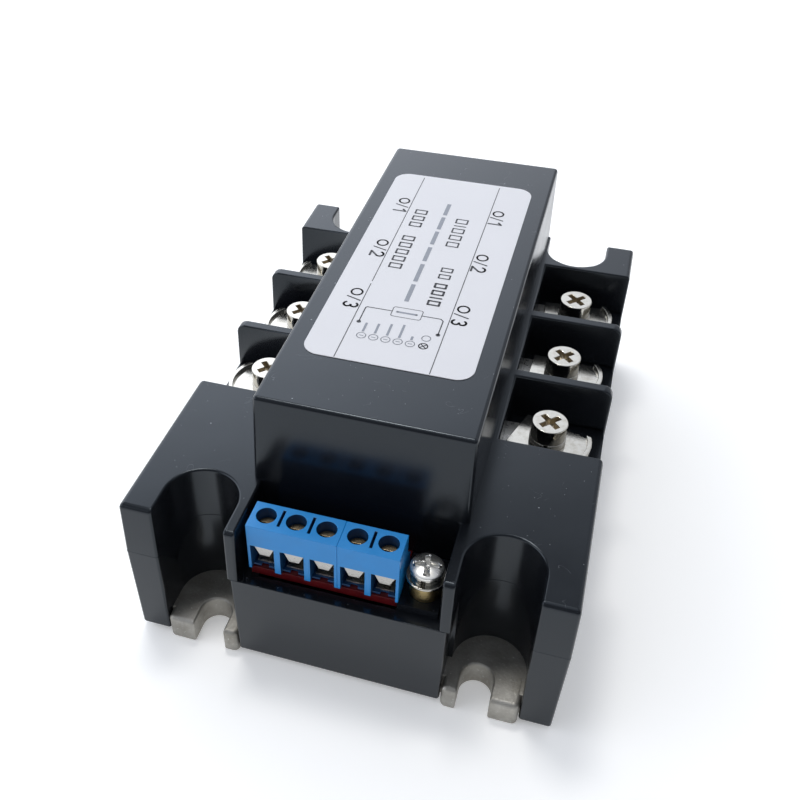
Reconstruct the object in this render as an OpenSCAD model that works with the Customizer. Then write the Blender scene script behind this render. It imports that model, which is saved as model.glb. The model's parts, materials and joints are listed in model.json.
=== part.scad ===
// Three-phase solid state relay, in millimetres.
// X runs across the relay, Y along it with the control terminals at -Y, and Z up.
// The origin is the middle of the base plate's underside.
// Every terminal is shown tightened, apart from the control terminals, which are open.

/* [Housing] */
// Width over the housing's parting line
body_w = 74; // [72:0.5:80]
// Length over the housing's centre section
body_l = 105; // [103:0.5:110]
// Height of the plane where the cover meets the lower housing
parting_z = 20; // [19:0.5:21]
// Height of the corner blocks and of the ribs between the terminals
block_z = 30.85; // [30:0.05:32]
// Height of the tower's flat top
tower_z = 47.45; // [44:0.05:52]
// Width of the tower's top
tower_w = 35.7; // [34:0.1:37]
// Distance from the centre back to the tower's front face
tower_front = 39.3; // [38:0.1:41]
// Wall thickness of both shells
wall = 2; // [1.6:0.1:2.2]

/* [Terminal bays] */
// Distance between neighbouring power terminals
bay_pitch = 20; // [19:0.5:21]
// Thickness of a rib between two bays
rib_t = 2; // [1.5:0.1:2.5]
// Distance from the centre line to a bay's inner wall
bay_inner_x = 19.15; // [19:0.05:20]
// Distance from the centre line to a terminal screw
terminal_x = 26.9; // [26:0.1:28]
// Height of the floor of a bay
deck_z = 21.4; // [21:0.1:22]

/* [Mounting notches] */
// Distance from the centre line to the middle of a notch
notch_x = 24.87; // [24.5:0.01:25]
// Radius of a notch's round end
notch_r = 6.25; // [6:0.05:6.5]
// Distance from the centre to the middle of a front notch's round end
notch_front_y = 46; // [45:0.1:47]
// Distance from the centre to the middle of a back notch's round end
notch_back_y = 47.3; // [47.2:0.1:48]

/* [Base plate] */
// Thickness of the metal base
plate_t = 5; // [3:0.5:6]
// Distance from the centre line to a mounting slot
slot_x = 23.4; // [23:0.1:24.5]
// Width of a mounting slot
slot_w = 5.5; // [4.5:0.1:6]
// Distance from the centre to the middle of a slot's round end
slot_y = 48.8; // [47:0.1:49]

/* [Power terminals] */
// Radius of the terminal screw's shank
power_shank_r = 1.95; // [1.9:0.05:2]
// Radius of the terminal screw's head
power_head_r = 3.2; // [3.1:0.1:3.6]
// Height of the top of the terminal screw's head
power_head_z = 29; // [28.5:0.1:29.5]
// Height of the top of the terminal's conductor bar
bar_z = 23.7; // [23.5:0.1:23.9]

/* [Control terminals] */
// Distance between neighbouring control terminals
pole_pitch = 5; // [5:0.08:5.08]
// X of the left end of the control terminal blocks
block_left_x = -15.3; // [-15.5:0.1:-15]
// Distance from the centre to the front face of the control terminal blocks
block_front = 50.35; // [50:0.05:50.5]
// Height of a control terminal block
block_h = 10; // [9.8:0.1:10.5]
// Depth of a control terminal block at its top
block_top_d = 5.5; // [5.4:0.1:6]
// Depth of a control terminal block at its foot
block_foot_d = 7.6; // [7:0.1:8]

/* [Neutral terminal] */
// X of the neutral screw
neutral_x = 13.2; // [13.1:0.05:13.3]
// Distance from the centre to the neutral screw
neutral_y = 46.6; // [46:0.1:47]

/* [Hidden] */
$fn = 96;
eps = 0.01;          // overlap that joins or clears two solids
gap = 0.02;          // gap between stacked pieces that move apart
fit = 0.05;          // radial running clearance of a screw in its thread
side_names = ["line", "load"];
sides = [1, -1];     // the line terminals are at +X, the load terminals at -X
poles = 5;
poles_3way = 3;

// Housing outline: the moulded draft makes both shells widest at the parting plane
skirt_z = 1;
half_w = body_w / 2;
half_l = body_l / 2;
half_w_bottom = half_w - 0.5;
half_w_top = half_w - 0.1;
leg_l_bottom = half_l - 0.6;
leg_l = half_l - 0.7;
leg_l_top = half_l - 1.1;
centre_l_bottom = half_l - 0.3;
centre_l_top = half_l - 0.4;
centre_w = 18.62;             // half width of the cover's centre section
centre_w_low = 18.1;          // half width of the housing's centre section at the parting plane
centre_w_bottom = 17.85;
recess_w = 16.6;              // half width of the recess in front of the tower
tower_foot_w = tower_w / 2 + 0.3;
tower_front_top = tower_front - 1.1;
tower_back_top = half_l - 0.2;
rib_corner_r = 1.8;
// The corner's centre, a little out from the top edge because the wall leans in
rib_corner_x = half_w_top + 0.02 - rib_corner_r;
bay_w = bay_pitch - rib_t;
first_bay_y = -18;            // front wall of the first bay
front_cavity_y = -37.6;
back_cavity_y = 39.3;
plate_half_w = 35.1;
plate_half_l = 50.1;
tab_front = 52.45;
tab_in = 18.05;
tab_out = 31;
tab_corner_r = 1;

// Housing screws
housing_screws = [[30.5, -30], [30.5, 21]];
housing_shank_r = 1.45;
housing_head_r = 2.8;
housing_head_h = 1.7;
boss_r = 3.2;
boss_top = 16.6;
boss_web_t = 1.6;

// Power terminal stack, from the conductor bar up
bar_t = 1.2;
bar_w = 8.2;
bar_outer_x = 32.4;
bar_drop_x = 15.6;            // outer face of the bar's vertical part
bar_foot = 4;
clamp_t = 0.9;
clamp_r = 7.9;
clamp_w = 8.8;
clamp_inner = 6.1;
clamp_lip_t = 0.8;
clamp_lip_h = 0.7;
clamp_yaws = [[4, -3, -18], [-5, 3, 6]];   // how far each clamp has turned under its screw
clamp_z = bar_z + gap;
lock_z = clamp_z + clamp_t + gap;
lock_t = 1.2;
power_head_h = power_head_z - lock_z - lock_t - gap;
power_shank_l = 7.8;
nut_w = 7;
nut_h = 3.2;
nut_block = 5.4;             // half width of the moulded block round a nut
nut_z = bar_z - bar_t - nut_h - 0.1;

// Boards and electronics
tile_z = plate_t;
tile_t = 1;
tile_l = 15;
tile_w = 33;
chip_w = 8;
chip_t = 0.5;
chip_x = 5.5;
board_t = 1.6;
control_board_z = parting_z + 0.1;
control_board_left = -15.1;
control_board_right = 9.35;
control_board_front = -49.9;
control_board_back = -26;
trigger_z = 26;
trigger_w = 30.4;
trigger_front = -36;
trigger_back = 49.5;
post_r = 1.75;
posts = [[13, -20], [13, 44]];
link_y = -31;
lead_r = 0.35;

// Control terminal block
block_z0 = control_board_z + board_t;
hole_r = 1.65;
hole_y = -(block_front - 2.95);
window_w = 3.9;
window_h = 5.3;
window_z = block_z0 + 0.45;
band_t = 0.8;
sill_slot_w = 1.3;
chamber_back = -45.3;
control_head_r = 1.5;
control_head_h = 1.5;
control_head_z = block_z0 + block_h - 2;
guard_z = window_z + 2.2;
guard_t = 0.4;
cage_t = 0.35;
cage_w = 3.4;
nut_plate_z = guard_z + 1;
nut_plate_t = 1;
control_shank_r = 1.15;

// Neutral terminal
standoff_r = 2.6;
standoff_neck_r = 1.9;
ledge_foot = 12;
rail_in = 13.8;
rail_back = tower_front + 1.7;
standoff_top = 25.2;
neutral_shank_r = 1.45;
neutral_washer_t = 0.5;
neutral_lock_t = 1.2;
neutral_head_h = 1.15;
neutral_head_r = 2.7;
neutral_dome_r = 7;
neutral_head_z = standoff_top + neutral_washer_t + neutral_lock_t + 3 * gap;

// Label
label_w = 28.7;
label_l = 65.4;
label_y = 7.65;
label_r = 3;
label_t = 0.15;

// Terminal 1 is the one at the back
function bay_front(i) = first_bay_y + (3 - i) * bay_pitch;
function bay_y(i) = bay_front(i) + bay_w / 2;
function pole_x(i) = block_left_x + (i - 0.5) * pole_pitch;

// ---- Shared shapes ----

module mirrored_x() {
    children();
    mirror([1, 0, 0]) children();
}

module mirrored_xy() {
    mirrored_x() children();
    mirror([0, 1, 0]) mirrored_x() children();
}

module on_side(side) {
    mirror([side < 0 ? 1 : 0, 0, 0]) children();
}

// A box given by its lowest and highest corners
module box(low, high) {
    translate(low) cube(high - low);
}

module rounded_rect(w, l, r) {
    square([w - 2 * r, l], center = true);
    square([w, l - 2 * r], center = true);
    for (x = [-1, 1], y = [-1, 1]) translate([x * (w / 2 - r), y * (l / 2 - r)]) circle(r);
}

module ring(r_out, r_in, h) {
    difference() {
        cylinder(h = h, r = r_out);
        translate([0, 0, -eps]) cylinder(h = h + 2 * eps, r = r_in);
    }
}

// A ring with a cut through one side, as in a spring lock washer
module split_ring(r_out, r_in, h) {
    difference() {
        ring(r_out, r_in, h);
        translate([0, -r_out, -eps]) rotate([0, 0, 20]) box([-0.3, -1, 0], [0.3, r_out, h + 2 * eps]);
    }
}

// A solid with one outline seen from the front and another seen from the side
module two_profiles(front_points, side_points) {
    reach = body_l;
    intersection() {
        translate([0, reach, 0]) rotate([90, 0, 0]) linear_extrude(2 * reach) polygon(front_points);
        translate([-reach, 0, 0]) rotate([90, 0, 90]) linear_extrude(2 * reach) polygon(side_points);
    }
}

function symmetric(points) = concat(
    points,
    [for (i = [len(points) - 1:-1:0]) [-points[i].x, points[i].y]]
);

module cross_recess(w, arm, depth) {
    for (a = [0, 90]) rotate([0, 0, a]) translate([0, 0, -depth / 2 + eps]) cube([w, arm, depth], center = true);
    translate([0, 0, -depth * 1.2]) cylinder(h = depth * 1.2 + eps, r1 = arm * 0.3, r2 = arm * 0.85);
}

// ---- Housing ----

// One mounting notch in plan, open towards the end of the relay
module notch_2d(y, way) {
    translate([notch_x, y]) circle(notch_r);
    translate([notch_x - notch_r, way < 0 ? y - 20 : y]) square([2 * notch_r, 20]);
}

module notches(z0, z1) {
    mirrored_x() translate([0, 0, z0]) linear_extrude(z1 - z0) {
        notch_2d(-notch_front_y, -1);
        notch_2d(notch_back_y, 1);
    }
}

module cover_blocks() {
    difference() {
        two_profiles(
            symmetric([[half_w, parting_z], [half_w_top, block_z]]),
            symmetric([[leg_l, parting_z], [leg_l_top, block_z]])
        );
        for (i = [1:3]) mirrored_x() {
            box([bay_inner_x, bay_front(i), parting_z - 1], [body_w, bay_front(i) + bay_w, block_z + 1]);
        }
        notches(parting_z - 1, block_z + 1);
        rib_corners();
    }
}

// The round outer corners of the two ribs on each side
module rib_corners() {
    for (i = [1:2]) mirrored_x() {
        translate([rib_corner_x, bay_front(i) - rib_t - 0.5 + eps, block_z - rib_corner_r])
            rotate([-90, 0, 0]) linear_extrude(rib_t + 1) difference() {
                translate([0, -2 * rib_corner_r]) square(2 * rib_corner_r);
                circle(rib_corner_r);
            }
    }
}

module cover_centre() {
    two_profiles(
        symmetric([[centre_w, parting_z], [centre_w, block_z]]),
        symmetric([[half_l, parting_z], [centre_l_top, block_z]])
    );
}

module cover_tower() {
    two_profiles(
        symmetric([[tower_foot_w, block_z - 1], [tower_w / 2, tower_z]]),
        [
            [-tower_front, block_z - 1],
            [half_l, block_z - 1],
            [tower_back_top, tower_z],
            [-tower_front_top, tower_z],
            [-tower_front, block_z]
        ]
    );
}

module cover_inside() {
    cavity_w = 16.1;
    // tower cavity, then the recess that is open to the front
    box([-cavity_w, -tower_front + wall, parting_z - 1], [cavity_w, half_l - wall - 0.2, block_z]);
    box([-cavity_w, -tower_front_top + wall, block_z - eps], [cavity_w, tower_back_top - wall, tower_z - wall]);
    box([-recess_w, -body_l, parting_z - 1], [recess_w, -tower_front, block_z + 1]);
    box([-recess_w, -tower_front - 1, parting_z - 1], [recess_w, -tower_front + wall + 1, block_z0 + fit]);
    // corner blocks and the slots that the conductor bars pass through
    mirrored_x() {
        box([bay_inner_x + wall, front_cavity_y, parting_z - 1], [half_w - wall, first_bay_y - wall, block_z - wall]);
        for (i = [1:3]) {
            box(
                [cavity_w - 1, bay_y(i) - bar_w / 2 - 0.1, parting_z - 1],
                [bay_inner_x + 1, bay_y(i) + bar_w / 2 + 0.1, bar_z + fit]
            );
        }
    }
}

module upper_cover() {
    color("#2b2f36") difference() {
        union() {
            cover_blocks();
            cover_centre();
            cover_tower();
            mirrored_x() box([tower_foot_w - 1, first_bay_y - 1, parting_z], [bay_inner_x, back_cavity_y + 1, block_z]);
        }
        cover_inside();
    }
}

module lower_shell() {
    difference() {
        union() {
            difference() {
                two_profiles(
                    symmetric([[half_w_bottom, skirt_z], [half_w, parting_z]]),
                    symmetric([[leg_l_bottom, skirt_z], [leg_l, parting_z]])
                );
                notches(0, parting_z + 1);
                mirrored_x() for (way = [-1, 1]) {
                    y = way < 0 ? notch_front_y : notch_back_y;
                    box([centre_w_bottom - 1, way * y - (way < 0 ? 20 : 0), 0], [notch_x, way * y + (way < 0 ? 0 : 20), parting_z + 1]);
                }
            }
            two_profiles(
                symmetric([[centre_w_bottom, skirt_z], [centre_w_low, parting_z]]),
                symmetric([[centre_l_bottom, skirt_z], [half_l, parting_z]])
            );
        }
        // room for the base plate, then the inside of the shell
        translate([0, 0, -eps]) linear_extrude(plate_t + 0.05) plate_outline(0.1);
        box([-half_w + wall + 0.4, front_cavity_y, 0], [half_w - wall - 0.4, back_cavity_y, parting_z + 1]);
        box([-centre_w_low + wall, -half_l + wall + 0.1, 0], [centre_w_low - wall, half_l - wall - 0.1, parting_z + 1]);
    }
}

module decks() {
    mirrored_x() for (i = [1:3]) difference() {
        union() {
            box(
                [bay_inner_x + 0.1, bay_front(i) + 0.1, parting_z - 1.4],
                [half_w_top - 0.2, bay_front(i) + bay_w - 0.1, deck_z]
            );
            box(
                [terminal_x - nut_block, bay_y(i) - nut_block, nut_z - 2.6],
                [terminal_x + nut_block, bay_y(i) + nut_block, bar_z - bar_t]
            );
        }
        translate([terminal_x, bay_y(i), nut_z - 3]) cylinder(h = 8, r = power_shank_r + 0.25);
        translate([terminal_x, bay_y(i), nut_z + 5 - gap]) cube([nut_w + 0.2, nut_w + 0.2, 10], center = true);
    }
}

module under_ribs() {
    mirrored_x() for (i = [0:3]) {
        y = first_bay_y - rib_t + i * bay_pitch;
        difference() {
            box([bay_inner_x, y, plate_t + 0.1], [half_w - wall, y + rib_t, parting_z]);
            for (p = housing_screws) translate([p.x, p.y, 0]) cylinder(h = parting_z, r = boss_r - eps);
        }
    }
}

module screw_bosses() {
    mirrored_x() for (p = housing_screws) difference() {
        union() {
            translate([p.x, p.y, plate_t + 0.1]) cylinder(h = boss_top - plate_t - 0.1, r = boss_r);
            box([p.x, p.y - boss_web_t / 2, plate_t + 0.1], [half_w - wall, p.y + boss_web_t / 2, boss_top]);
        }
        translate([p.x, p.y, 0]) cylinder(h = body_l, r = housing_shank_r + fit);
    }
}

// A rail under the control board's left edge, and the ledge that the neutral standoff is pressed into
module front_ledges() {
    front = -half_l + wall;
    outer = centre_w_low - wall + eps;
    box([-outer, front, ledge_foot], [-rail_in, -rail_back, control_board_z]);
    difference() {
        box([control_board_right + 0.2, front, ledge_foot], [outer, -tower_front - 0.2, block_z0]);
        translate([neutral_x, -neutral_y, 0]) pin_hole(standoff_neck_r + fit);
    }
}

module lower_housing() {
    color("#25282e") {
        lower_shell();
        decks();
        under_ribs();
        screw_bosses();
        front_ledges();
    }
}

module plate_outline(grow) {
    square([2 * (plate_half_w + grow), 2 * (plate_half_l + grow)], center = true);
    mirrored_xy() translate([(tab_in + tab_out) / 2, (tab_front + 40) / 2]) {
        rounded_rect(tab_out - tab_in + 2 * grow, tab_front - 40 + 2 * grow, tab_corner_r);
    }
}

module slot_2d() {
    translate([slot_x, slot_y]) circle(slot_w / 2);
    translate([slot_x - slot_w / 2, slot_y]) square([slot_w, 10]);
}

module base_plate() {
    color("#8f8f88") difference() {
        linear_extrude(plate_t) difference() {
            plate_outline(0);
            mirrored_xy() slot_2d();
        }
        mirrored_x() for (p = housing_screws) translate([p.x, p.y, 0]) {
            translate([0, 0, -eps]) cylinder(h = plate_t + 1, r = housing_shank_r + 0.15);
            translate([0, 0, -eps]) {
                cylinder(h = housing_head_h + 0.2, r1 = housing_head_r + 0.15, r2 = housing_shank_r + 0.15);
            }
        }
    }
}

module housing_screws() {
    color("#a8a8a4") mirrored_x() for (p = housing_screws) translate([p.x, p.y, 0]) difference() {
        union() {
            translate([0, 0, 0.1]) cylinder(h = housing_head_h, r1 = housing_head_r, r2 = housing_shank_r);
            translate([0, 0, 1]) cylinder(h = 11, r = housing_shank_r);
        }
        mirror([0, 0, 1]) translate([0, 0, -0.1]) cross_recess(2.8, 0.7, 1);
    }
}

module rating_label() {
    color("#dfe5f0") translate([-0.15, label_y, tower_z]) {
        linear_extrude(label_t) rounded_rect(label_w, label_l, label_r);
    }
}

// ---- Power terminals ----

module at_terminal(side, i) {
    on_side(side) translate([terminal_x, bay_y(i), 0]) children();
}

// Flat contact at the screw, then a step down to the chip's substrate
module busbar(side, i) {
    color("#cfc9b8") on_side(side) translate([0, bay_y(i), 0]) difference() {
        union() {
            box([bar_drop_x - bar_t, -bar_w / 2, bar_z - bar_t], [bar_outer_x, bar_w / 2, bar_z]);
            box([bar_drop_x - bar_t, -bar_w / 2, tile_z + tile_t], [bar_drop_x, bar_w / 2, bar_z]);
            box(
                [bar_drop_x - bar_foot, -bar_w / 2, tile_z + tile_t],
                [bar_drop_x, bar_w / 2, tile_z + tile_t + bar_t]
            );
        }
        translate([terminal_x, 0, bar_z - bar_t - 1]) cylinder(h = bar_t + 2, r = power_shank_r + fit);
    }
}

// The wire clamp has round ends, and an outer lip that keeps the wire in
module clamp(side, i) {
    yaw = clamp_yaws[side > 0 ? 0 : 1][i - 1];
    color("#d8d6cf") at_terminal(side, i) translate([0, 0, clamp_z]) rotate([0, 0, yaw]) difference() {
        union() {
            linear_extrude(clamp_t) intersection() {
                circle(clamp_r);
                translate([-clamp_inner, -clamp_w / 2]) square([clamp_inner + clamp_r, clamp_w]);
            }
            translate([0, 0, clamp_t - eps]) linear_extrude(clamp_lip_h) intersection() {
                difference() {
                    circle(clamp_r);
                    circle(clamp_r - clamp_lip_t);
                }
                translate([0, -clamp_w / 2]) square([clamp_r, clamp_w]);
            }
        }
        translate([0, 0, -eps]) cylinder(h = clamp_t + 1, r = power_shank_r + 0.25);
    }
}

module lock_washer(side, i) {
    color("#b9b7b0") at_terminal(side, i) translate([0, 0, lock_z]) {
        split_ring(3.3, power_shank_r + 0.2, lock_t);
    }
}

module power_screw(side, i) {
    color("#d8d5cc") at_terminal(side, i) translate([0, 0, power_head_z]) difference() {
        union() {
            translate([0, 0, -power_head_h]) cylinder(h = power_head_h, r = power_head_r);
            translate([0, 0, -power_head_h - power_shank_l]) {
                cylinder(h = power_shank_l + eps, r = power_shank_r);
            }
        }
        rotate([0, 0, 45]) cross_recess(4.2, 1, 1.5);
    }
}

module terminal_nuts() {
    color("#c7c4ba") for (side = sides, i = [1:3]) at_terminal(side, i) translate([0, 0, nut_z]) difference() {
        translate([0, 0, nut_h / 2]) cube([nut_w, nut_w, nut_h], center = true);
        translate([0, 0, -eps]) cylinder(h = nut_h + 1, r = power_shank_r + fit);
    }
}

// ---- Control terminals ----

module control_board() {
    color("#8a0f18") difference() {
        box(
            [control_board_left, control_board_front, control_board_z],
            [control_board_right, control_board_back, control_board_z + board_t]
        );
        for (i = [1:poles]) translate([pole_x(i), chamber_back + 1, 0]) pin_hole(0.65);
        for (i = [-2:2]) translate([i * 2.54, link_y, 0]) pin_hole(lead_r + 0.1);
    }
}

module pin_hole(r) {
    translate([0, 0, control_board_z - 1]) cylinder(h = board_t + 10, r = r);
}

// A row of poles side by side, each with a screw hole, a wire chamber and a window
module control_block(first, count) {
    x0 = pole_x(first) - pole_pitch / 2;
    x1 = x0 + count * pole_pitch - gap;
    front = -block_front;
    difference() {
        translate([x0, 0, block_z0]) rotate([90, 0, 90]) linear_extrude(x1 - x0) polygon([
            [front, 0],
            [front, block_h],
            [front + block_top_d, block_h],
            [front + block_top_d, block_h * 0.62],
            [front + block_foot_d, block_h * 0.38],
            [front + block_foot_d, 0]
        ]);
        for (i = [first:first + count - 1]) translate([pole_x(i), 0, 0]) {
            translate([0, hole_y, window_z + 1]) cylinder(h = block_h + 1, r = hole_r);
            box([-window_w / 2, front - 1, window_z], [window_w / 2, chamber_back, window_z + window_h - 0.3]);
            box([-1.9, front + band_t, window_z + 1], [1.9, front + band_t + 0.75, window_z + window_h + 1]);
            // the window's sill is set back from the front, and a slot runs through its middle
            box([-window_w / 2, front - 1, block_z0 - 1], [window_w / 2, front + band_t, window_z + 1]);
            box([-sill_slot_w / 2, front, block_z0 - 1], [sill_slot_w / 2, front + 1.4, window_z + 1]);
            box([-0.6, chamber_back + 0.6, block_z0 - 1], [0.6, chamber_back + 1.4, window_z + 1]);
            box([-1.6, chamber_back - eps, window_z], [1.6, chamber_back + 1.4, window_z + 0.45]);
        }
        // thin slots in the top between neighbouring poles
        for (i = [first:1:first + count - 2]) translate([pole_x(i) + pole_pitch / 2, 0, 0]) {
            box([-0.22, front + 1.3, block_z0 + block_h - 1.5], [0.22, front + 4.7, block_z0 + block_h + 1]);
        }
    }
}

module control_block_3way() {
    color("#3f97dc") control_block(1, poles_3way);
}

module control_block_2way() {
    color("#3f97dc") control_block(poles_3way + 1, poles - poles_3way);
}

// A cage in each wire chamber: the contact floor, the threaded plate for the screw, and the pin
module control_contacts() {
    front = -block_front + band_t + guard_t + 0.25;
    back = chamber_back - fit;
    color("#c9c7c0") for (i = [1:poles]) translate([pole_x(i), 0, 0]) {
        box([-1.5, front, window_z + fit], [1.5, chamber_back + 1.35, window_z + fit + cage_t]);
        box([-0.45, chamber_back + 0.65, control_board_z - 1.5], [0.45, chamber_back + 1.35, window_z + 0.4]);
        box([-1.5, back - cage_t, window_z + fit], [1.5, back, nut_plate_z + nut_plate_t]);
        difference() {
            box([-cage_w / 2, front, nut_plate_z], [cage_w / 2, back, nut_plate_z + nut_plate_t]);
            translate([0, hole_y, 0]) cylinder(h = body_l, r = control_shank_r + fit);
        }
    }
}

// The screw pushes this leaf down onto the wire
module wire_guard(i) {
    y0 = -block_front + band_t + 0.1;
    color("#d5d2c8") translate([pole_x(i), 0, guard_z]) {
        box([-0.85, y0, 0], [0.85, chamber_back - 0.6, guard_t]);
        translate([0, y0 + guard_t, 0]) rotate([90, 0, 0]) linear_extrude(guard_t) {
            polygon([[-0.85, 0], [0.85, 0], [1.75, 2], [1.75, 2.7], [-1.75, 2.7], [-1.75, 2]]);
        }
    }
}

module control_screw(i) {
    shank_l = control_head_z - control_head_h - guard_z - guard_t - gap;
    color("#d3b46a") translate([pole_x(i), hole_y, control_head_z]) difference() {
        union() {
            translate([0, 0, -control_head_h]) cylinder(h = control_head_h, r = control_head_r);
            translate([0, 0, -control_head_h - shank_l]) cylinder(h = shank_l + eps, r = control_shank_r);
        }
        translate([0, 0, 0]) cube([4, 0.5, 1.4], center = true);
    }
}

// ---- Neutral terminal ----

module at_neutral(z) {
    translate([neutral_x, -neutral_y, z]) children();
}

module neutral_standoff() {
    color("#b08a3c") difference() {
        union() {
            at_neutral(block_z0 + gap) cylinder(h = standoff_top - block_z0 - gap, r = standoff_r);
            at_neutral(control_board_z) cylinder(h = board_t + 1, r = standoff_neck_r);
        }
        at_neutral(0) cylinder(h = standoff_top + 1, r = neutral_shank_r + fit);
    }
}

module neutral_washer() {
    color("#cfcdc6") at_neutral(standoff_top + gap) ring(3.25, neutral_shank_r + 0.2, neutral_washer_t);
}

module neutral_lock_washer() {
    color("#bdbbb4") at_neutral(standoff_top + neutral_washer_t + 2 * gap) {
        split_ring(2.45, neutral_shank_r + 0.2, neutral_lock_t);
    }
}

module neutral_screw() {
    color("#e0e0e0") at_neutral(neutral_head_z) difference() {
        union() {
            intersection() {
                cylinder(h = neutral_head_h, r = neutral_head_r);
                translate([0, 0, neutral_head_h - neutral_dome_r]) sphere(neutral_dome_r);
            }
            translate([0, 0, -5.6]) cylinder(h = 5.6 + eps, r = neutral_shank_r);
        }
        translate([0, 0, neutral_head_h]) rotate([0, 0, 10]) cross_recess(3.7, 0.8, 0.8);
    }
}

// ---- Inside ----

module for_phases() {
    for (i = [1:3]) translate([0, bay_y(i), 0]) children();
}

module ceramic_substrates() {
    color("#eeeae0") for_phases() {
        box([-tile_w / 2, -tile_l / 2, tile_z], [tile_w / 2, tile_l / 2, tile_z + tile_t]);
    }
}

module thyristor_chips() {
    color("#55585c") for_phases() mirrored_x() translate([chip_x, 0, tile_z + tile_t + chip_t / 2]) {
        cube([chip_w, chip_w, chip_t], center = true);
    }
}

// Gate and cathode leads from each chip up through the trigger board
module gate_leads() {
    z0 = tile_z + tile_t + chip_t;
    color("#c8a060") for_phases() mirrored_x() for (y = [-2, 2]) translate([chip_x, y, z0]) {
        cylinder(h = trigger_z + board_t + 1 - z0, r = lead_r);
    }
}

module trigger_board() {
    color("#1f6a3a") difference() {
        box(
            [-trigger_w / 2, trigger_front, trigger_z],
            [trigger_w / 2, trigger_back, trigger_z + board_t]
        );
        for_phases() mirrored_x() for (y = [-2, 2]) translate([chip_x, y, trigger_z - 1]) {
            cylinder(h = board_t + 2, r = lead_r + 0.1);
        }
        for (i = [-2:2]) translate([i * 2.54, link_y, trigger_z - 1]) cylinder(h = board_t + 2, r = lead_r + 0.1);
    }
}

module board_posts() {
    color("#3a3a3a") mirrored_x() for (p = posts) translate([p.x, p.y, plate_t]) {
        cylinder(h = trigger_z - plate_t, r = post_r);
    }
}

// Pin strip that joins the control board to the trigger board
module board_link() {
    z0 = control_board_z + board_t;
    color("#202020") {
        box([-6.35, link_y - 1.25, z0], [6.35, link_y + 1.25, trigger_z]);
        for (i = [-2:2]) translate([i * 2.54, link_y, control_board_z - 1]) {
            cylinder(h = trigger_z + board_t + 1 - control_board_z + 1, r = lead_r);
        }
    }
}

module on_trigger_board(x, y) {
    translate([x, y, trigger_z + board_t]) children();
}

module pulse_transformers() {
    color("#3b3226") for (i = [1:3]) on_trigger_board(-10.3, bay_y(i)) {
        translate([0, 0, 1]) cube([8, 12, 2], center = true);
        translate([0, 0, 5.5]) cube([4, 12, 8], center = true);
        translate([0, 6, 5.5]) rotate([90, 0, 0]) difference() {
            cylinder(h = 12, r = 3.4);
            translate([0, 0, 2]) ring(6, 2.6, 8);
        }
    }
}

module controller_chip() {
    color("#1c1c1e") on_trigger_board(10, 20) {
        translate([0, 0, 2.2]) cube([6.4, 18, 3.2], center = true);
        mirrored_x() for (i = [-3:3]) translate([3.4, i * 2.54, 1]) cube([0.5, 0.5, 2], center = true);
    }
}

module filter_capacitors() {
    color("#2a4a8a") for (y = [-31, -22]) on_trigger_board(9, y) {
        cylinder(h = 11, r = 3.2);
    }
}

module snubber_resistors() {
    color("#c9b48a") for (y = [-12, -6, 0, 36, 41, 46]) on_trigger_board(10.5, y) {
        translate([-3.5, 0, 1.3]) rotate([0, 90, 0]) cylinder(h = 7, r = 1.3);
    }
}

// ---- One line draws one node ----

base_plate();
lower_housing();
upper_cover();
rating_label();
housing_screws();
for (s = [0, 1], i = [1:3]) {
    name = side_names[s];
    busbar(sides[s], i);
    clamp(sides[s], i);
    lock_washer(sides[s], i);
    power_screw(sides[s], i);
}
terminal_nuts();
control_board();
control_block_3way();
control_block_2way();
control_contacts();
for (i = [1:poles]) {
    wire_guard(i);
    control_screw(i);
}
neutral_standoff();
neutral_washer();
neutral_lock_washer();
neutral_screw();
ceramic_substrates();
thyristor_chips();
gate_leads();
trigger_board();
board_posts();
board_link();
pulse_transformers();
controller_chip();
filter_capacitors();
snubber_resistors();
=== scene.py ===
"""Looks for a three-phase solid state relay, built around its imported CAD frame."""
import json
import math

import bmesh
import bpy
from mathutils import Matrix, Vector


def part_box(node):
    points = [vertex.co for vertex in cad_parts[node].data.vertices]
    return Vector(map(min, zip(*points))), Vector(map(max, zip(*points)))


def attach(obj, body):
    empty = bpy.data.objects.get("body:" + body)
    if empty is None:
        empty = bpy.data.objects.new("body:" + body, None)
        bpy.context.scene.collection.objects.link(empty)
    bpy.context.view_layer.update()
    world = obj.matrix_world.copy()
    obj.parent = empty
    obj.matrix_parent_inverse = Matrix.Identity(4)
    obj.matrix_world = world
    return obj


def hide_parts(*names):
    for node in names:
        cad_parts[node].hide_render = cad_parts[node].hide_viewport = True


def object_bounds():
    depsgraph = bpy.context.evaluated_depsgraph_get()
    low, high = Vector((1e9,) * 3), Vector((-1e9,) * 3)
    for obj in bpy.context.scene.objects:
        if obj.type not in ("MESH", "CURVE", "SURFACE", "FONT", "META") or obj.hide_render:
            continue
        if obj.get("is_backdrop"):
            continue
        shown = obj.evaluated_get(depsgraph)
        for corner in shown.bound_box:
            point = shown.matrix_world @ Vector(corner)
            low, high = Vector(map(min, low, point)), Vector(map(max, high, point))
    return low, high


MM = 0.001
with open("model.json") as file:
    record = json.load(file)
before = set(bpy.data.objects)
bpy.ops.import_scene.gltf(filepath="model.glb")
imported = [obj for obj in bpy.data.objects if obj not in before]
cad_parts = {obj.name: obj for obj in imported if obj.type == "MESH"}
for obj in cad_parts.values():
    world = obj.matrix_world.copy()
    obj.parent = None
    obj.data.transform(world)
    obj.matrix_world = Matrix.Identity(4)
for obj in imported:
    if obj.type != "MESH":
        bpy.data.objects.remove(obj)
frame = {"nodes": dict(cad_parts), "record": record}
cad_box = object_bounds()
record = frame["record"]
NODES = frame["nodes"]
BODY_OF = {n: b for b, members in record["behaviour"]["bodies"].items() for n in members}
SLOT_OF = {s["node"]: s["material_slot"] for s in record["subparts"]}


# ---- Camera, light and floor ----

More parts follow.
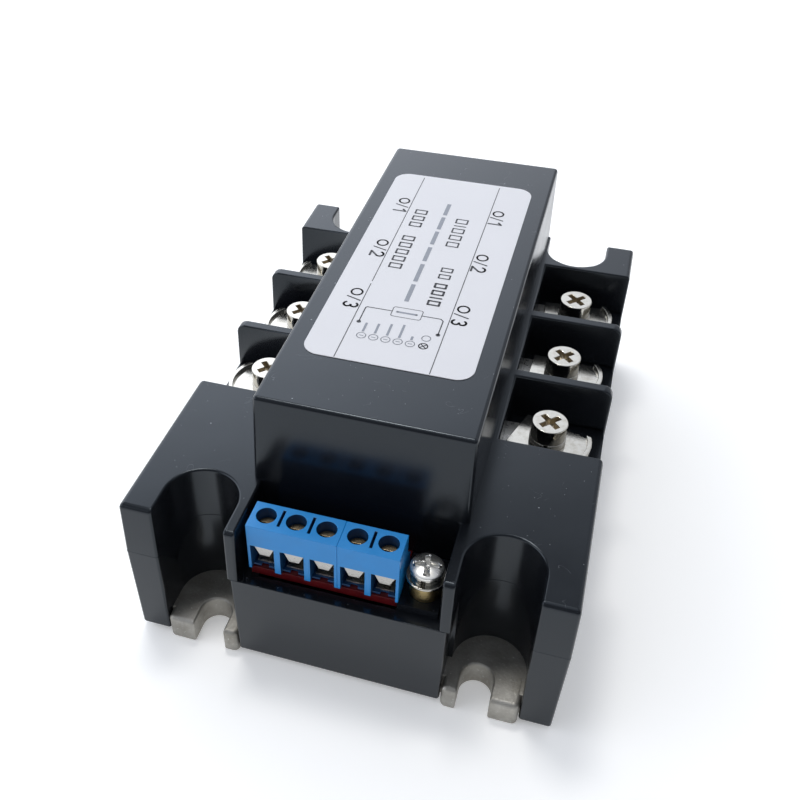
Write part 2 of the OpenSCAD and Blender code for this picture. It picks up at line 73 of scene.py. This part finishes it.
def add_camera():
    data = bpy.data.cameras.new("camera")
    data.lens = 43.28
    data.shift_x = 0.075
    data.clip_start = 0.01
    data.clip_end = 10
    camera = bpy.data.objects.new("camera", data)
    camera.location = (29.35 * MM, -142.9 * MM, 143.73 * MM)
    camera.rotation_euler = (math.radians(49.61), math.radians(0.29), math.radians(17.13))
    bpy.context.scene.collection.objects.link(camera)
    bpy.context.scene.camera = camera


def key_light():
    """A softbox high above and a little behind the relay. It draws the bright lines on the top edges."""
    data = bpy.data.lights.new("key", "AREA")
    data.shape = "RECTANGLE"
    data.size, data.size_y = 0.24, 0.15
    data.energy = 2.3
    data.color = (1.0, 0.99, 0.97)
    light = bpy.data.objects.new("key", data)
    light.location = (-0.16, 0.2, 0.9)
    light.rotation_euler = Vector(light.location).to_track_quat("Z", "Y").to_euler()
    bpy.context.scene.collection.objects.link(light)


class Sky:
    """The studio round the relay, as soft panels given by azimuth and elevation in degrees.

    Azimuth 0 is behind the relay (+Y), and 90 is to its right (+X).
    """

    def __init__(self, base):
        world = bpy.data.worlds.new("studio")
        world.use_nodes = True
        bpy.context.scene.world = world
        self.tree = world.node_tree
        coordinates = self.tree.nodes.new("ShaderNodeTexCoord")
        split = self.tree.nodes.new("ShaderNodeSeparateXYZ")
        self.tree.links.new(coordinates.outputs["Generated"], split.inputs[0])
        self.azimuth = self.math("ARCTAN2", split.outputs["X"], split.outputs["Y"])
        self.elevation = self.math("ARCSINE", split.outputs["Z"], 0.0)
        self.level = self.math("ADD", base, 0.0)

    def math(self, operation, a, b):
        node = self.tree.nodes.new("ShaderNodeMath")
        node.operation = operation
        for socket, value in zip(node.inputs, (a, b)):
            if isinstance(value, bpy.types.NodeSocket):
                self.tree.links.new(value, socket)
            else:
                socket.default_value = value
        return node.outputs[0]

    def fade(self, angle, start, end):
        """0 at start and 1 at end, in degrees, with a smooth change between them."""
        node = self.tree.nodes.new("ShaderNodeMapRange")
        node.interpolation_type = "SMOOTHSTEP"
        self.tree.links.new(angle, node.inputs["Value"])
        node.inputs["From Min"].default_value = math.radians(start)
        node.inputs["From Max"].default_value = math.radians(end)
        return node.outputs["Result"]

    def panel(self, radiance, left, right, low, high):
        """left, right, low and high are pairs of angles: where the panel starts, and where it is full."""
        shape = self.fade(self.elevation, *low)
        for angle, (start, end) in ((self.elevation, high), (self.azimuth, left), (self.azimuth, right)):
            shape = self.math("MULTIPLY", shape, self.fade(angle, start, end))
        self.level = self.math("ADD", self.level, self.math("MULTIPLY", shape, radiance))

    def finish(self, colour):
        background = self.tree.nodes["Background"]
        background.inputs["Color"].default_value = (*colour, 1)
        self.tree.links.new(self.level, background.inputs["Strength"])


def add_lights():
    key_light()
    sky = Sky(0.22)
    sky.panel(1.82, (-165, -110), (20, -30), (2, 12), (50, 41))
    sky.panel(0.44, (-60, -20), (110, 60), (2, 14), (55, 42))
    sky.panel(0.6, (-181, -180), (181, 180), (54, 72), (91, 90))
    sky.finish((0.95, 1.0, 1.1))
    bpy.context.scene.view_settings.view_transform = "Standard"


def add_floor():
    mesh = bpy.data.meshes.new("floor")
    r = 3.0
    mesh.from_pydata([(-r, -r, 0), (r, -r, 0), (r, r, 0), (-r, r, 0)], [], [(0, 1, 2, 3)])
    floor = bpy.data.objects.new("floor", mesh)
    bpy.context.scene.collection.objects.link(floor)
    mat = Shader("floor_paper", (0.95, 0.945, 0.93), 0.9, Specular_IOR_Level=0.2)
    mat.set("Emission Color", (1, 1, 1, 1))
    mat.set("Emission Strength", 0.26)
    floor.data.materials.append(mat.material)
    floor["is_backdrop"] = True


# ---- Materials ----

# A colour Mix node's sockets: the factor, both colours and the result
MIX_FACTOR, MIX_A, MIX_B, MIX_RESULT = 0, 6, 7, 2


class Shader:
    """A small builder for node materials in the row's own coordinates."""

    def __init__(self, name, colour, roughness, metallic=0.0, **sockets):
        self.material = bpy.data.materials.new(name)
        self.material.use_nodes = True
        self.tree = self.material.node_tree
        self.bsdf = self.tree.nodes["Principled BSDF"]
        self.set("Base Color", (*colour, 1))
        self.set("Roughness", roughness)
        self.set("Metallic", metallic)
        for socket, value in sockets.items():
            self.set(socket.replace("_", " "), value)
        self.where = self.add("ShaderNodeTexCoord").outputs["Object"]

    def add(self, kind, **properties):
        node = self.tree.nodes.new(kind)
        for key, value in properties.items():
            setattr(node, key, value)
        return node

    def link(self, source, target):
        self.tree.links.new(source, target)

    def set(self, socket, value):
        target = self.bsdf.inputs[socket]
        if isinstance(value, bpy.types.NodeSocket):
            self.link(value, target)
        else:
            target.default_value = value

    def feed(self, node, socket, value):
        target = node.inputs[socket]
        if isinstance(value, bpy.types.NodeSocket):
            self.link(value, target)
        else:
            target.default_value = value

    def stretched(self, scale):
        node = self.add("ShaderNodeMapping")
        self.link(self.where, node.inputs["Vector"])
        node.inputs["Scale"].default_value = scale
        return node.outputs["Vector"]

    def noise(self, size, detail=3.0, rough=0.5, where=None, distortion=0.0):
        """Noise with features about size metres across, from 0 to 1."""
        node = self.add("ShaderNodeTexNoise")
        self.link(where or self.where, node.inputs["Vector"])
        node.inputs["Scale"].default_value = 1 / size
        node.inputs["Detail"].default_value = detail
        node.inputs["Roughness"].default_value = rough
        node.inputs["Distortion"].default_value = distortion
        return node.outputs["Fac"]

    def cells(self, size, output="Distance"):
        node = self.add("ShaderNodeTexVoronoi")
        self.link(self.where, node.inputs["Vector"])
        node.inputs["Scale"].default_value = 1 / size
        return node.outputs[output]

    def ramp(self, value, low, high, out_low=0.0, out_high=1.0):
        node = self.add("ShaderNodeMapRange", clamp=True)
        self.feed(node, "Value", value)
        node.inputs["From Min"].default_value = low
        node.inputs["From Max"].default_value = high
        node.inputs["To Min"].default_value = out_low
        node.inputs["To Max"].default_value = out_high
        return node.outputs["Result"]

    def math(self, operation, a, b=0.0):
        node = self.add("ShaderNodeMath", operation=operation)
        for socket, value in zip(node.inputs, (a, b)):
            if isinstance(value, bpy.types.NodeSocket):
                self.link(value, socket)
            else:
                socket.default_value = value
        return node.outputs["Value"]

    def mix(self, factor, a, b):
        node = self.add("ShaderNodeMix", data_type="RGBA")
        self.feed(node, MIX_FACTOR, factor)
        for socket, value in ((MIX_A, a), (MIX_B, b)):
            self.feed(node, socket, value if isinstance(value, bpy.types.NodeSocket) else (*value, 1))
        return node.outputs[MIX_RESULT]

    def axis(self, source, name):
        node = self.add("ShaderNodeSeparateXYZ")
        self.link(source, node.inputs[0])
        return node.outputs[name]

    def facing_up(self, low=0.7, high=0.95):
        normal = self.add("ShaderNodeNewGeometry").outputs["Normal"]
        return self.ramp(self.axis(normal, "Z"), low, high)

    def bump(self, height, distance, strength=1.0):
        node = self.add("ShaderNodeBump")
        self.link(height, node.inputs["Height"])
        node.inputs["Distance"].default_value = distance
        node.inputs["Strength"].default_value = strength
        previous = self.bsdf.inputs["Normal"]
        if previous.is_linked:
            self.link(previous.links[0].from_socket, node.inputs["Normal"])
        self.link(node.outputs["Normal"], previous)


def specks(shader, size, radius, share):
    """Small dots: the middles of a share of the cells in a cell pattern."""
    distance = shader.cells(size)
    chosen = shader.axis(shader.cells(size, output="Color"), "X")
    dot = shader.ramp(distance, radius * 0.6, radius, 1, 0)
    return shader.math("MULTIPLY", dot, shader.ramp(chosen, share, share + 0.001, 1, 0))


def hairlines(shader, size, width, share):
    """Short thin scratches: a band of stretched noise, broken up by a coarser one."""
    swirl = shader.noise(size, detail=1.5, distortion=1.2)
    line = shader.ramp(shader.math("ABSOLUTE", shader.math("SUBTRACT", swirl, 0.5)), 0, width, 1, 0)
    patch = shader.ramp(shader.noise(size * 0.7, detail=0), 1 - share, 1 - share + 0.04)
    return shader.math("MULTIPLY", line, patch)


def black_plastic(name):
    """Satin black moulding, with specks and hairline scratches of dust on what faces up."""
    s = Shader(name, (0.007, 0.008, 0.0105), 0.2, Specular_IOR_Level=0.46)
    s.set("Specular Tint", (0.82, 0.92, 1.0, 1))
    cloud = s.noise(9 * MM, detail=4, rough=0.6)
    s.bump(s.noise(16 * MM, detail=1), 0.05 * MM)
    s.bump(s.noise(0.35 * MM, detail=2), 0.0012 * MM)
    colour = s.mix(s.ramp(cloud, 0.3, 0.75), (0.006, 0.0068, 0.009), (0.0085, 0.0098, 0.0125))
    roughness = s.ramp(cloud, 0.25, 0.8, 0.17, 0.24)
    up = s.facing_up()
    fine = specks(s, 0.9 * MM, 0.075, 0.16)
    coarse = specks(s, 3.1 * MM, 0.045, 0.3)
    scratch = hairlines(s, 5 * MM, 0.0025, 0.3)
    dust = s.math("MULTIPLY", s.math("MAXIMUM", fine, coarse), up)
    dust = s.math("MAXIMUM", dust, s.math("MULTIPLY", scratch, s.math("MULTIPLY", up, 0.35)))
    s.set("Base Color", s.mix(dust, colour, (0.36, 0.38, 0.4)))
    s.set("Roughness", s.math("ADD", roughness, s.math("MULTIPLY", dust, 0.3)))
    return s.material


def cast_metal():
    s = Shader("base_metal", (0.36, 0.35, 0.315), 0.55, 0.85)
    grain = s.noise(0.45 * MM, detail=5, rough=0.65)
    pits = s.cells(0.6 * MM)
    s.bump(grain, 0.035 * MM)
    s.bump(pits, 0.012 * MM)
    stain = s.noise(5 * MM, detail=4, rough=0.6)
    base = s.mix(s.ramp(stain, 0.35, 0.7), (0.30, 0.285, 0.25), (0.47, 0.455, 0.42))
    glint = s.ramp(grain, 0.62, 0.72)
    s.set("Base Color", s.mix(glint, base, (0.7, 0.69, 0.66)))
    s.set("Roughness", s.ramp(grain, 0.3, 0.7, 0.62, 0.42))
    return s.material


def plated_metal(name, colour, dark, roughness, grain=0.02):
    """Bright plating with faint mottling, and a little tarnish in patches."""
    s = Shader(name, colour, roughness, 1.0)
    patch = s.noise(1.7 * MM, detail=4, rough=0.65)
    s.set("Base Color", s.mix(s.ramp(patch, 0.45, 0.78), colour, dark))
    s.set("Roughness", s.ramp(patch, 0.3, 0.75, roughness * 0.8, roughness * 1.6))
    s.bump(s.noise(0.5 * MM, detail=3), grain * MM)
    return s.material


def brushed_metal(name, colour, roughness):
    s = Shader(name, colour, roughness, 1.0)
    lines = s.noise(0.8 * MM, detail=3, where=s.stretched((1, 1, 14)))
    s.set("Roughness", s.ramp(lines, 0.3, 0.7, roughness * 0.8, roughness * 1.3))
    s.bump(lines, 0.01 * MM)
    return s.material


def blue_plastic(name, low, high):
    s = Shader(name, high, 0.38)
    cloud = s.noise(3 * MM, detail=3)
    s.set("Base Color", s.mix(cloud, low, high))
    s.set("Roughness", s.ramp(cloud, 0.3, 0.7, 0.34, 0.44))
    s.bump(s.noise(0.2 * MM, detail=2), 0.002 * MM)
    return s.material


def solder_mask(name, colour, edge):
    s = Shader(name, colour, 0.3)
    weave = s.cells(0.5 * MM)
    s.set("Base Color", s.mix(s.ramp(s.noise(1.5 * MM), 0.4, 0.65), colour, edge))
    s.bump(weave, 0.004 * MM)
    return s.material


def label_film():
    s = Shader("label_film", (0.7, 0.69, 0.7), 0.42)
    s.set("Base Color", s.mix(s.noise(12 * MM, detail=2), (0.68, 0.675, 0.69), (0.715, 0.71, 0.725)))
    s.bump(s.noise(0.6 * MM, detail=2), 0.002 * MM)
    s.bump(s.noise(18 * MM, detail=0), 0.03 * MM)
    return s.material


def plain_part(name, colour, roughness, size=1.2 * MM, metallic=0.0):
    """A moulded, fired or lacquered inner part, with slight mottling."""
    s = Shader(name, colour, roughness, metallic)
    darker = tuple(c * 0.8 for c in colour)
    s.set("Base Color", s.mix(s.noise(size, detail=3), darker, colour))
    s.bump(s.noise(size * 0.3, detail=2), 0.004 * MM)
    return s.material


def make_materials():
    nickel = (0.54, 0.52, 0.47)
    return {
        "cover_plastic": black_plastic("cover_plastic"),
        "housing_plastic": black_plastic("housing_plastic"),
        "base_metal": cast_metal(),
        "label_film": label_film(),
        "nickel_plate": plated_metal("nickel_plate", nickel, (0.46, 0.43, 0.37), 0.13, 0.004),
        "satin_nickel": plated_metal("satin_nickel", (0.8, 0.79, 0.76), (0.6, 0.58, 0.53), 0.27, 0.01),
        "spring_steel": plated_metal("spring_steel", (0.7, 0.68, 0.64), (0.45, 0.42, 0.36), 0.25),
        "zinc_steel": plated_metal("zinc_steel", (0.68, 0.69, 0.7), (0.5, 0.5, 0.48), 0.3),
        "tinned_metal": brushed_metal("tinned_metal", (0.54, 0.53, 0.5), 0.3),
        # gold plating of the control screws; its colour is darkened as painted shade for the deep holes they
        # sit in
        "gold_steel": plated_metal("gold_steel", (0.42, 0.34, 0.22), (0.2, 0.14, 0.08), 0.22, 0.006),
        "recess": plated_metal("recess", (0.6, 0.53, 0.41), (0.36, 0.3, 0.21), 0.4),
        INK: plain_part(INK, (0.022, 0.024, 0.03), 0.45),
        FAINT: plain_part(FAINT, (0.28, 0.3, 0.34), 0.45),
        "brass": brushed_metal("brass", (0.52, 0.4, 0.19), 0.3),
        "blue_plastic": blue_plastic("blue_plastic", (0.006, 0.215, 0.56), (0.012, 0.26, 0.66)),
        # painted shade: a dark blue for the insides of the control block's holes, slots and windows
        "blue_painted_shade": blue_plastic("blue_painted_shade", (0.005, 0.05, 0.14), (0.008, 0.06, 0.17)),
        "red_circuit_board": solder_mask("red_circuit_board", (0.085, 0.003, 0.005), (0.12, 0.006, 0.008)),
        "green_circuit_board": solder_mask("green_circuit_board", (0.01, 0.09, 0.03), (0.02, 0.15, 0.06)),
        "white_ceramic": plain_part("white_ceramic", (0.82, 0.8, 0.74), 0.5),
        "silicon": plain_part("silicon", (0.25, 0.26, 0.28), 0.2, metallic=0.6),
        "copper_lead": plated_metal("copper_lead", (0.75, 0.5, 0.35), (0.5, 0.3, 0.2), 0.3),
        "dark_plastic": plain_part("dark_plastic", (0.015, 0.015, 0.017), 0.45),
        "ferrite": plain_part("ferrite", (0.06, 0.05, 0.045), 0.6, 0.4 * MM),
        "capacitor_sleeve": plain_part("capacitor_sleeve", (0.02, 0.05, 0.22), 0.3),
        "resistor_body": plain_part("resistor_body", (0.55, 0.45, 0.26), 0.4),
    }


# ---- Pieces ----

def clean_copy(node):
    """A welded bmesh of a CAD node, with its flat faces merged."""
    bm = bmesh.new()
    bm.from_mesh(NODES[node].data)
    bmesh.ops.remove_doubles(bm, verts=bm.verts, dist=0.02 * MM)
    bmesh.ops.dissolve_limit(bm, angle_limit=math.radians(0.4), verts=bm.verts, edges=bm.edges)
    return bm


SHARP = math.radians(36)
FLAT = math.radians(0.5)
STRIP_WIDTH = 2.5 * MM
PARTING = 20


def fold(edge):
    return edge.calc_face_angle(0) if len(edge.link_faces) == 2 else math.pi


def is_curved(edge):
    """Whether an edge lies in a curved surface, which is made of narrow strips with small folds."""
    if fold(edge) > SHARP:
        return False
    narrowest = min(face.calc_area() for face in edge.link_faces) / edge.calc_length()
    return fold(edge) < FLAT or narrowest < STRIP_WIDTH


def softened(node, radius_of, segments=3):
    """A copy of a CAD node whose edges are rounded by radius_of(edge), in mm."""
    bm = clean_copy(node)
    weights = bm.edges.layers.float.new("bevel_weight_edge")
    radii = {}
    for edge in bm.edges:
        edge.smooth = is_curved(edge)
        if fold(edge) > SHARP and edge.is_convex:
            radii[edge] = radius_of(edge)
    widest = max(radii.values(), default=0)
    for edge, radius in radii.items():
        if radius:
            edge[weights] = radius / widest
            edge.smooth = True
    for face in bm.faces:
        face.smooth = True
    mesh = bpy.data.meshes.new(node + "_look")
    bm.to_mesh(mesh)
    bm.free()
    piece = bpy.data.objects.new(node + "_look", mesh)
    bpy.context.scene.collection.objects.link(piece)
    if widest:
        bevel = piece.modifiers.new("rounding", "BEVEL")
        bevel.limit_method = "WEIGHT"
        bevel.width = widest * MM
        bevel.segments = segments
        bevel.use_clamp_overlap = False
        # the cover's ribs end in fine arcs, where sliding would throw a corner far out
        bevel.loop_slide = node != "upper_cover"
    shading = piece.modifiers.new("shading", "WEIGHTED_NORMAL")
    shading.keep_sharp = True
    shading.weight = 100
    return piece


def middle(edge):
    """The middle of an edge in mm, with X mirrored onto the positive side."""
    centre = (edge.verts[0].co + edge.verts[1].co) / (2 * MM)
    return abs(centre.x), centre.y, centre.z


def upright(edge):
    return abs((edge.verts[0].co - edge.verts[1].co).normalized().z) > 0.9


def parting_radius(x, y):
    """The cover and the housing meet in a fine groove on the outside and round the bolt notches."""
    outer_wall = x > 36.2 or abs(y) > 51
    notch_wall = x > 17.5 and abs(y) > 38.5
    return 0.1 if outer_wall or notch_wall else 0


# Parts of the cover in mm, as its reach along X (mirrored), Y and Z
TOWER_HOLLOW = ((-1, 16.3), (-37.5, 50.6), (-1, 45.6))
BLOCK_HOLLOW = ((21, 35.2), (-37.8, -19.8), (-1, 29.5))
TERMINAL_BAYS = ((19.4, 100), (-20.2, 42.2), (-1, 100))
BAY_FRONT_WALL = -17.8
INNER_LEDGES = 22
LOW_LEDGES, LEDGE_REACH = 24.5, 19.3
BELOW_BLOCK_TOPS, ABOVE_BLOCK_TOPS = 30.6, 31


def within(point, region):
    return all(low < value < high for value, (low, high) in zip(point, region))


def bay_radius(x, y):
    """The ribs are finely rounded. The wall in front of the first bay belongs to a corner block."""
    if y >= BAY_FRONT_WALL:
        return 0.3
    return 0.9 if x > 36 else 0.4


def cover_radius(edge):
    x, y, z = middle(edge)
    if abs(z - PARTING) < 0.05:
        return parting_radius(x, y)
    hollow = within((x, y, z), TOWER_HOLLOW) or within((x, y, z), BLOCK_HOLLOW)
    low_ledge = z < LOW_LEDGES and x < LEDGE_REACH and not upright(edge)
    if hollow or z < INNER_LEDGES or low_ledge:
        return 0
    if z > ABOVE_BLOCK_TOPS:
        return 0.7
    if within((x, y, z), TERMINAL_BAYS):
        return bay_radius(x, y)
    if z < BELOW_BLOCK_TOPS:
        return 0.5 if abs(y) > 50 else 0
    if y < -50.8:
        return 0.9
    return 0.8 if x > 36.2 else 0.45


def housing_radius(edge):
    x, y, z = middle(edge)
    if abs(z - PARTING) < 0.05:
        return parting_radius(x, y)
    if z > 19.5 or (z > 1.3 and not upright(edge)):
        return 0
    outside = x > 36 or abs(y) > 50.9
    return 0.5 if outside else 0


def plate_radius(edge):
    x, y, z = middle(edge)
    if abs(y) < 44:
        return 0
    if z > 4.9:
        return 0.9 if abs(y) > 51.5 else 0.4
    return 0.35


def constant(radius):
    return lambda edge: radius


def settle(piece, material, body, slot, *replaced):
    piece.data.materials.append(material)
    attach(piece, body)
    if replaced:
        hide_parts(*replaced)


ROUNDED = {
    "upper_cover": cover_radius,
    "lower_housing": housing_radius,
    "base_plate": plate_radius,
    "busbar": constant(0.08),
    "clamp": constant(0.12),
    "lock_washer": constant(0.1),
    "control_block": constant(0.08),
    "neutral_washer": constant(0.12),
    "neutral_standoff": constant(0.12),
    "wire_guard": constant(0.05),
    "control_screw": constant(0.07),
    "line_screw": constant(0.12),
    "load_screw": constant(0.12),
    "neutral_screw": constant(0.08),
    "control_board": constant(0.05),
}
# Nodes whose look differs a little from the rest of their slot
SATIN = ("neutral_screw",)
POWER_SCREWS = ("line_screw", "load_screw")
# The height of a power screw's head, and how far its recess reaches across and down, in mm
HEAD_TOP, RECESS_REACH, RECESS_DEPTH = 29.0, 2.25, 2.6
SKIN = 0.2


def matching(table, node):
    return next((value for name, value in table.items() if name in node), None)


def box_corners(piece):
    """The lowest and the highest corner of a piece's bounding box, in mm."""
    corners = [Vector(corner) / MM for corner in piece.bound_box]
    return [Vector(pick(c[i] for c in corners) for i in range(3)) for pick in (min, max)]


def darken_recess_faces(piece, material):
    """Gives the faces inside a power screw's recess their own, darker material."""
    mesh = piece.data
    low, high = box_corners(piece)
    middle_of_screw = (low + high) / 2
    mesh.materials.append(material)
    for face in mesh.polygons:
        centre = face.center / MM
        out = (centre - middle_of_screw).xy
        below = HEAD_TOP - centre.z
        faces_in = face.normal.xy.dot(out) < 0 or face.normal.z > 0.3
        if 0.05 < below < RECESS_DEPTH and out.length < RECESS_REACH and faces_in:
            face.material_index = 1


def paint_shade_in_hollows(piece, material):
    """Paints shade into a control block's holes, slots and windows: the faces inside them get a darker blue,
    a painted shade.
    """
    mesh = piece.data
    low, high = box_corners(piece)
    mesh.materials.append(material)
    for face in mesh.polygons:
        x, y, z = face.center / MM
        on_ends = not low.x + SKIN < x < high.x - SKIN
        on_front_or_back = y < low.y + SKIN or y > high.y - SKIN
        on_top = z > high.z - SKIN
        if not (on_ends or on_front_or_back or on_top):
            face.material_index = 1


def dress_nodes(materials):
    """Gives each CAD node its material, or a rounded copy in its place."""
    for node in sorted(NODES):
        radius_of = matching(ROUNDED, node)
        slot = SLOT_OF[node]
        if radius_of:
            piece = softened(node, radius_of)
            material = materials["satin_nickel"] if node in SATIN else materials[slot]
            settle(piece, material, BODY_OF[node], slot, node)
            if node.startswith(POWER_SCREWS):
                darken_recess_faces(piece, materials["recess"])
            # painted shade: a darker blue inside the control block's holes, slots and windows
            if slot == "blue_plastic":
                paint_shade_in_hollows(piece, materials["blue_painted_shade"])
        else:
            NODES[node].data.materials.clear()
            NODES[node].data.materials.append(materials[slot])


# ---- Label ----

LABEL_TOP = 47.575
INK_Z = 47.595
INK = "ink"
FAINT = "faint_ink"


class Sheet:
    """Flat shapes on top of the label. across runs to +X, and along runs from the back to the front."""

    def __init__(self):
        self.vertices = []
        self.faces = []
        self.inks = []

    def polygon(self, points, ink=INK, height=INK_Z):
        start = len(self.vertices)
        self.vertices += [(across * MM, -along * MM, height * MM) for along, across in points]
        self.faces.append(tuple(range(start, start + len(points))))
        self.inks.append(ink)

    def bar(self, along, across, length, height, ink=INK):
        self.polygon([(along, across), (along + length, across),
                      (along + length, across + height), (along, across + height)], ink)

    def stroke(self, points, width, ink=INK):
        """A line of constant width through points, with round joints."""
        for (a0, c0), (a1, c1) in zip(points, points[1:]):
            length = math.hypot(a1 - a0, c1 - c0)
            da, dc = (c0 - c1) / length * width / 2, (a1 - a0) / length * width / 2
            start = [(a0 + da, c0 + dc), (a0 - da, c0 - dc)]
            end = [(a1 - da, c1 - dc), (a1 + da, c1 + dc)]
            self.polygon(start + end, ink)
        for along, across in points:
            self.polygon(arc(along, across, width / 2, 0, 360, 10)[:-1], ink)


def arc(along, across, radius, start, end, steps):
    angles = [math.radians(start + (end - start) * i / steps) for i in range(steps + 1)]
    return [(along + radius * math.cos(a), across + radius * math.sin(a)) for a in angles]


# Digits in a box 1 high, with their left foot at 0, 0
DIGITS = {
    1: [(0.05, 0.76), (0.32, 1.0), (0.32, 0.0)],
    2: arc(0.3, 0.7, 0.3, 165, -35, 10) + [(0.0, 0.0), (0.62, 0.0)],
    3: arc(0.28, 0.745, 0.255, 150, -80, 9) + arc(0.28, 0.265, 0.265, 80, -150, 9),
}


def terminal_mark(sheet, number, along, across, height=2.5):
    """A terminal's ring, a slash and its number."""
    sheet.stroke(arc(along + 1.15, across + height / 2, 1.0, 0, 360, 24), 0.34)
    sheet.stroke([(along + 2.8, across), (along + 3.6, across + height)], 0.3)
    sheet.stroke([(along + 4.5 + a * height, across + c * height) for a, c in DIGITS[number]], 0.4)


def placeholder(sheet, along, across, height, widths, width, ink=INK):
    """A row of empty boxes in place of a printed word. A width of 0 stands for a single upright."""
    for box_width in widths:
        left, right, top = along, along + box_width, across + height
        outline = [(left, across), (left, top), (right, top), (right, across), (left, across)]
        sheet.stroke(outline if box_width else outline[:2], width, ink)
        along += box_width + 0.75 * height ** 0.5


def diagram(sheet):
    """The control input drawn as a box with two leads, beside a column of terminal rings."""
    middle_along, top, bottom = 9.7, 6.35, -7.45
    sheet.stroke([(14.35, top), (10.2, top), (9.7, 5.85), (middle_along, 2.5)], 0.2)
    sheet.stroke([(middle_along, -2.75), (middle_along, bottom + 0.2), (10.0, bottom), (14.1, bottom)], 0.2)
    corners = arc(10.7, 2.1, 0.4, 0, 90, 4) + arc(8.7, 2.1, 0.4, 90, 180, 4)
    corners += arc(8.7, -2.35, 0.4, 180, 270, 4) + arc(10.7, -2.35, 0.4, 270, 360, 4)
    sheet.stroke(corners + corners[:1], 0.13)
    sheet.stroke([(middle_along, 1.6), (middle_along, -1.85)], 0.45, FAINT)
    for across in (top, bottom):
        sheet.polygon(arc(14.3, across, 0.4, 0, 360, 16)[:-1])
    for i, dash in enumerate((1.0, 3.8, 3.4, 2.9, 2.6)):
        across = 2.45 - i * 2.1
        sheet.stroke(arc(18.0, across, 0.78, 0, 360, 20), 0.14, FAINT)
        sheet.stroke([(18.0, across - 0.3), (18.0, across + 0.3)], 0.16, FAINT)
        sheet.bar(16.9 - dash, across - 0.25, dash, 0.42, FAINT)
    sheet.stroke(arc(15.8, 4.7, 0.75, 0, 360, 20), 0.14, FAINT)
    sheet.stroke(arc(18.0, 4.7, 0.75, 0, 360, 20), 0.2)
    for slant in (1, -1):
        sheet.stroke([(17.5, 4.7 - 0.5 * slant), (18.5, 4.7 + 0.5 * slant)], 0.2)


def label_art():
    sheet = Sheet()
    back, front = -39.4, 24.9
    for number, along in ((1, -29.8), (2, -12.8), (3, 4.6)):
        terminal_mark(sheet, number, along, 7.75)
        terminal_mark(sheet, number, along, -11.5)
    sheet.bar(back, 7.28, front - back, 0.15)
    sheet.bar(back, -8.68, 41.1, 0.15)
    sheet.bar(2.5, -8.68, front - 2.5, 0.15)
    # plain boxes and bars stand where printed words would be
    placeholder(sheet, -24.4, 1.55, 2.2, (1.5, 0, 1.5, 1.5, 1.5), 0.3)
    placeholder(sheet, -6.2, 2.6, 2.0, (1.2, 1.2), 0.3)
    placeholder(sheet, -0.8, 2.6, 2.0, (1.2, 1.2, 0, 1.2), 0.4)
    dashes = ((-29.8, 4.6), (-24.3, 4.8), (-18.6, 4.9), (-12.6, 5.1), (-6.4, 6.0), (0.6, 5.6))
    for along, length in dashes:
        sheet.bar(along, -1.55, length, 0.8, FAINT)
    placeholder(sheet, -25.8, -7.0, 2.2, (1.4, 1.4, 1.4), 0.34)
    placeholder(sheet, -15.3, -7.0, 2.2, (1.4, 1.4, 1.4, 1.4, 1.4), 0.34)
    diagram(sheet)
    return sheet


def add_label(materials):
    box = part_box("rating_label")
    low, high = (tuple(v / MM for v in corner) for corner in box)
    radius = 3.0
    outline = []
    front, back = -low[1] - radius, -high[1] + radius
    right, left = high[0] - radius, low[0] + radius
    for quarter, (along, across) in enumerate(((front, right), (back, right), (back, left), (front, left))):
        outline += arc(along, across, radius, 90 * quarter, 90 * quarter + 90, 12)
    paper = Sheet()
    paper.polygon(outline, height=LABEL_TOP)
    for a, b in zip(outline, outline[1:] + outline[:1]):
        start = len(paper.vertices)
        for (along, across), z in ((a, LABEL_TOP), (b, LABEL_TOP), (b, low[2]), (a, low[2])):
            paper.vertices.append((across * MM, -along * MM, z * MM))
        paper.faces.append(tuple(range(start, start + 4)))
        paper.inks.append(INK)
    body = BODY_OF["rating_label"]
    settle(sheet_piece("label_paper", paper, ()), materials["label_film"], body, "label_film", "rating_label")
    printed = sheet_piece("label_print", label_art(), (INK, FAINT))
    printed.data.materials.append(materials[INK])
    settle(printed, materials[FAINT], body, "label_film")


def sheet_piece(name, sheet, inks):
    mesh = bpy.data.meshes.new(name)
    mesh.from_pydata(sheet.vertices, [], sheet.faces)
    for face, ink in zip(mesh.polygons, sheet.inks):
        face.material_index = inks.index(ink) if inks else 0
        if face.normal.z < -0.5:
            face.flip()
    piece = bpy.data.objects.new(name, mesh)
    bpy.context.scene.collection.objects.link(piece)
    return piece


add_camera()
add_lights()
add_floor()
materials = make_materials()
dress_nodes(materials)
add_label(materials)


def corners(box):
    return [list(corner) for corner in box]


{"cad": corners(cad_box), "visual": corners(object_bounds())}
